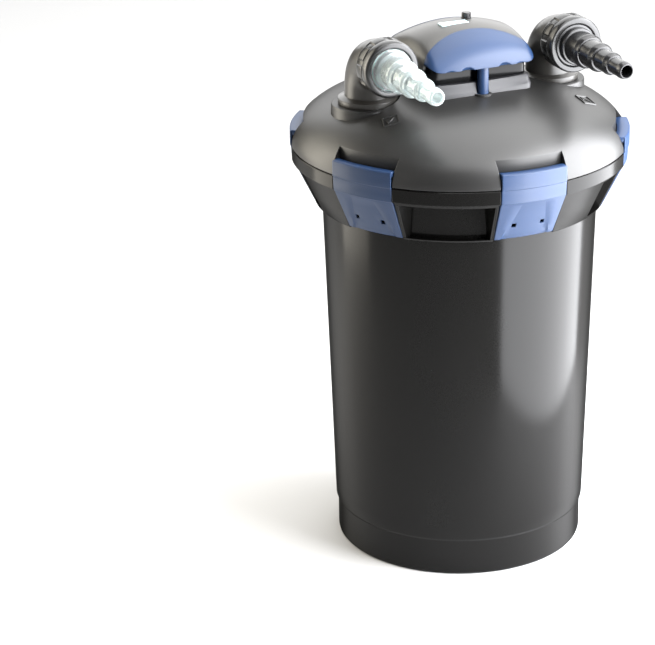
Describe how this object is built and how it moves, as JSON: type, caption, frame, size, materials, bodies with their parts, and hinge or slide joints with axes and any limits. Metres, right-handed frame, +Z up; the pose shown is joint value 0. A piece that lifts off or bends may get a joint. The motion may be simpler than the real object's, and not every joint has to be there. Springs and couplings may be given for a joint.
{
  "type": "pressurized pond filter",
  "caption": "Tapered canister pond filter with a clamped dome lid, swivelling stepped hose tails, a pull-up cleaning head and an ultraviolet lamp inside.",
  "frame": {"origin": "centre of the base on the floor, on the canister's axis", "axes": "+Z up along the canister's axis, front with the hose tails towards -Y, +X to the right seen from the front"},
  "size_m": [0.38, 0.384, 0.621],
  "materials": {
    "tank_plastic": "satin moulded, slightly glossy",
    "lid_plastic": "satin moulded",
    "seal_rubber": "smooth rubber",
    "green_rubber": "smooth rubber",
    "steel": "stainless",
    "elbow_plastic": "satin moulded",
    "nut_plastic": "semi-gloss",
    "clear_plastic": "clear moulded plastic",
    "black_plastic": "semi-gloss",
    "foot_plastic": "satin moulded",
    "gloss_black": "high gloss",
    "cap_plastic": "satin moulded",
    "blue_plastic": "satin to semi-gloss, moulded through",
    "label": "blank plate",
    "inner_plastic": "moulded",
    "foam_blue": "open-cell foam",
    "foam_red": "open-cell foam",
    "quartz": "fused quartz",
    "lamp_glass": "lamp tubes",
    "white_plastic": "glazed"
  },
  "bodies": {
    "canister": {"tank": "tank_plastic", "collar": "tank_plastic", "lid": "lid_plastic", "lid_seal": "seal_rubber", "clamp_pins": "steel", "head_foot": "foot_plastic", "head_foot_gasket": "seal_rubber", "head_housing": "gloss_black", "head_screws": "steel", "rod_gland_front": "seal_rubber", "rod_gland_rear": "seal_rubber", "foam_coarse": "foam_blue", "foam_fine": "foam_red", "top_grid": "inner_plastic", "centre_tube": "inner_plastic", "inlet_duct": "inner_plastic", "quartz_sleeve": "quartz", "sleeve_seal": "seal_rubber", "sleeve_ring": "inner_plastic", "uv_lamp": "lamp_glass", "lamp_base": "white_plastic", "lamp_socket": "white_plastic", "cable_gland": "black_plastic"},
    "clamp_1": {"clamp_1": "blue_plastic"},
    "clamp_2": {"clamp_2": "blue_plastic"},
    "clamp_3": {"clamp_3": "blue_plastic"},
    "clamp_4": {"clamp_4": "blue_plastic"},
    "clamp_5": {"clamp_5": "blue_plastic"},
    "clamp_6": {"clamp_6": "blue_plastic"},
    "left_elbow": {"elbow_left": "elbow_plastic", "port_orings_left": "seal_rubber", "port_clip_left": "steel", "tail_gasket_left": "green_rubber", "hose_tail_clear": "clear_plastic"},
    "right_elbow": {"elbow_right": "elbow_plastic", "port_orings_right": "seal_rubber", "port_clip_right": "steel", "tail_gasket_right": "seal_rubber", "hose_tail_black": "black_plastic"},
    "left_nut": {"nut_left": "nut_plastic"},
    "right_nut": {"nut_right": "nut_plastic"},
    "handle": {"handle_cap": "cap_plastic", "grip_front": "blue_plastic", "grip_rear": "blue_plastic", "label_plate": "label", "button_cup": "inner_plastic", "button_spring": "steel", "pull_rod_front": "blue_plastic", "pull_rod_rear": "blue_plastic", "rod_nuts": "inner_plastic", "squeeze_plate": "inner_plastic"},
    "button": {"lock_button": "black_plastic"}
  },
  "joints": [
    {"name": "clamp_1_hinge", "type": "hinge", "parent": "canister", "child": "clamp_1", "pos_m": [0, -0.16, 0.422], "axis": [1, 0, 0], "range_deg": [0, 38]},
    {"name": "clamp_2_hinge", "type": "hinge", "parent": "canister", "child": "clamp_2", "pos_m": [0.13856, -0.08, 0.422], "axis": [0.5, 0.866, 0], "range_deg": [0, 38]},
    {"name": "clamp_3_hinge", "type": "hinge", "parent": "canister", "child": "clamp_3", "pos_m": [0.13856, 0.08, 0.422], "axis": [-0.5, 0.866, 0], "range_deg": [0, 38]},
    {"name": "clamp_4_hinge", "type": "hinge", "parent": "canister", "child": "clamp_4", "pos_m": [0, 0.16, 0.422], "axis": [-1, 0, 0], "range_deg": [0, 38]},
    {"name": "clamp_5_hinge", "type": "hinge", "parent": "canister", "child": "clamp_5", "pos_m": [-0.13856, 0.08, 0.422], "axis": [-0.5, -0.866, 0], "range_deg": [0, 38]},
    {"name": "clamp_6_hinge", "type": "hinge", "parent": "canister", "child": "clamp_6", "pos_m": [-0.13856, -0.08, 0.422], "axis": [0.5, -0.866, 0], "range_deg": [0, 38]},
    {"name": "left_elbow_swivel", "type": "hinge", "parent": "canister", "child": "left_elbow", "pos_m": [-0.112, 0, 0.53], "axis": [0, 0, 1], "range_deg": [-100, 0]},
    {"name": "right_elbow_swivel", "type": "hinge", "parent": "canister", "child": "right_elbow", "pos_m": [0.112, 0, 0.53], "axis": [0, 0, 1], "range_deg": [0, 100]},
    {"name": "left_nut_turn", "type": "hinge", "parent": "left_elbow", "child": "left_nut", "pos_m": [-0.112, -0.057, 0.589], "axis": [0, -1, 0], "continuous": true},
    {"name": "right_nut_turn", "type": "hinge", "parent": "right_elbow", "child": "right_nut", "pos_m": [0.112, -0.057, 0.589], "axis": [0, -1, 0], "continuous": true},
    {"name": "handle_pull", "type": "slide", "parent": "canister", "child": "handle", "axis": [0, 0, 1], "range_m": [0, 0.11], "deforming": ["foam_coarse", "foam_fine"]},
    {"name": "button_press", "type": "slide", "parent": "handle", "child": "button", "axis": [0, 0, -1], "range_m": [0, 0.004], "stiffness_N_per_m": 600, "springref_m": -0.002, "deforming": ["button_spring"]}
  ]
}
